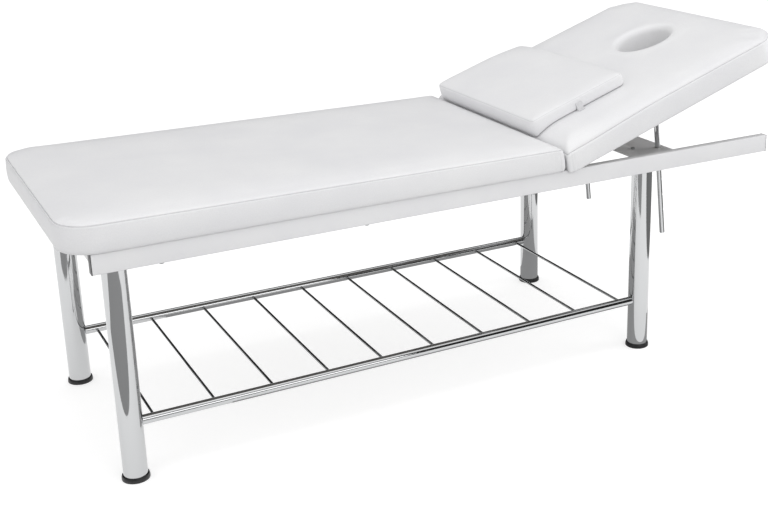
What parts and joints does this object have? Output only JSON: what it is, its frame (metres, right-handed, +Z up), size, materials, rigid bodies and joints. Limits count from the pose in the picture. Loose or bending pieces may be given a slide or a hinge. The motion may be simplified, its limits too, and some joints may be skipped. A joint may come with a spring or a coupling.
{
  "type": "beauty treatment couch",
  "caption": "Padded treatment couch on straight chrome legs, with a tilting back section, face hole, prop support with notched rods, low rack and loose head pillow.",
  "frame": {"origin": "on the floor, under the middle of the couch's outline as it stands", "axes": "+X from the foot end to the head end, +Y from the front to the rear, +Z up"},
  "size_m": [1.8924, 0.698, 0.8391],
  "materials": {
    "white_coat": "satin powder coat",
    "white_vinyl": "satin vinyl-coated fabric over foam",
    "chrome": "polished",
    "zinc": "zinc plated",
    "black_rubber": "matte",
    "grey_plastic": "matte",
    "white_plastic": "matte",
    "plywood": "raw",
    "hook_and_loop": "woven"
  },
  "bodies": {
    "frame": {"front_rail": "white_coat", "rear_rail": "white_coat", "rail_end_plugs": "grey_plastic", "foot_cross_tube": "white_coat", "hinge_cross_tube": "white_coat", "head_cross_plate": "white_coat", "guide_bush_front": "white_plastic", "guide_bush_rear": "white_plastic", "guide_screws": "zinc", "guide_nuts": "zinc", "leg_top_plates": "white_coat", "leg_bolts": "zinc", "leg_top_inserts": "zinc", "leg_front_foot_end": "chrome", "leg_front_head_end": "chrome", "leg_rear_foot_end": "chrome", "leg_rear_head_end": "chrome", "shoe_front_foot_end": "black_rubber", "shoe_front_head_end": "black_rubber", "shoe_rear_foot_end": "black_rubber", "shoe_rear_head_end": "black_rubber", "rack_front_tube": "chrome", "rack_rear_tube": "chrome", "rack_rod_1": "chrome", "rack_rod_2": "chrome", "rack_rod_3": "chrome", "rack_rod_4": "chrome", "rack_rod_5": "chrome", "rack_rod_6": "chrome", "rack_rod_7": "chrome", "rack_rod_8": "chrome", "rack_rod_9": "chrome", "rack_rod_10": "chrome", "seat_board": "plywood", "seat_cushion": "white_vinyl", "seat_board_screws": "zinc", "hinge_fixed_leaf_front": "zinc", "hinge_fixed_leaf_rear": "zinc", "hinge_pin_front": "zinc", "hinge_pin_rear": "zinc"},
    "back_section": {"back_board": "plywood", "back_cushion": "white_vinyl", "hinge_moving_leaf_front": "zinc", "hinge_moving_leaf_rear": "zinc", "hinge_leaf_screws": "zinc", "support_bracket_front": "zinc", "support_bracket_rear": "zinc", "support_bracket_screws": "zinc"},
    "support": {"support_rod_front": "chrome", "support_rod_rear": "chrome", "support_cross_bar": "chrome"},
    "pillow": {"head_pillow": "white_vinyl", "pillow_tab": "hook_and_loop"}
  },
  "joints": [
    {"name": "back_tilt", "type": "hinge", "parent": "frame", "child": "back_section", "pos_m": [0.29078, 0, 0.548], "axis": [0, -1, 0], "range_deg": [-18.5, 31.5]},
    {"name": "support_swing", "type": "hinge", "parent": "back_section", "child": "support", "pos_m": [0.64532, 0, 0.64501], "axis": [0, -1, 0], "range_deg": [-16.3, 9.6]},
    {"name": "pillow_lift", "type": "slide", "parent": "back_section", "child": "pillow", "axis": [-0.3173, 0, 0.9483], "range_m": [0, 0.15]}
  ],
  "couplings": [
    {"joint": "support_swing", "follows": "back_tilt", "ratio": -0.515}
  ]
}
